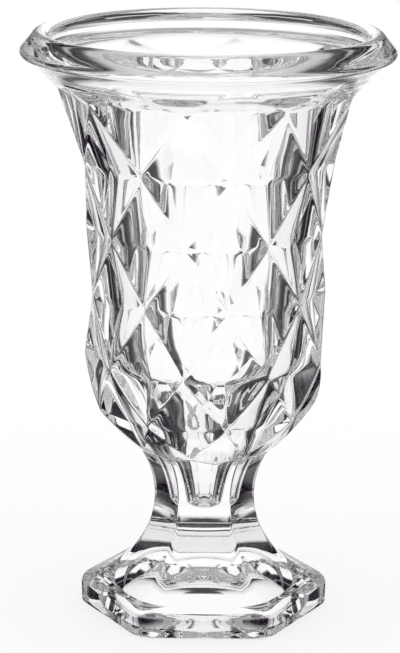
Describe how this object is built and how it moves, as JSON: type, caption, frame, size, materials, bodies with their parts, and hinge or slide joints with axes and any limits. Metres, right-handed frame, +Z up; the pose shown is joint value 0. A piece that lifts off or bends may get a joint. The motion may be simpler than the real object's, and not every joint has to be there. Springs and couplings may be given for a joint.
{
  "type": "footed glass vase",
  "caption": "Footed flower vase of clear pressed glass: a flared bowl with hollow diamond facets and a thick rolled rim, bonded at the waist to a hexagonal spreading foot.",
  "frame": {"origin": "on the vase's axis, on the plane that the foot stands on", "axes": "+Z up along the axis, -Y to the front, with a flat side of the hexagonal foot to the front, +X to the right"},
  "size_m": [0.188, 0.1876, 0.2992],
  "materials": {
    "bowl_glass": "clear pressed glass, fire-polished, with softly rounded ridges",
    "bond_layer": "thin clear cured layer",
    "foot_glass": "clear pressed glass, fire-polished"
  },
  "bodies": {
    "root": {"bowl": "bowl_glass", "bond": "bond_layer", "foot": "foot_glass"}
  },
  "joints": []
}
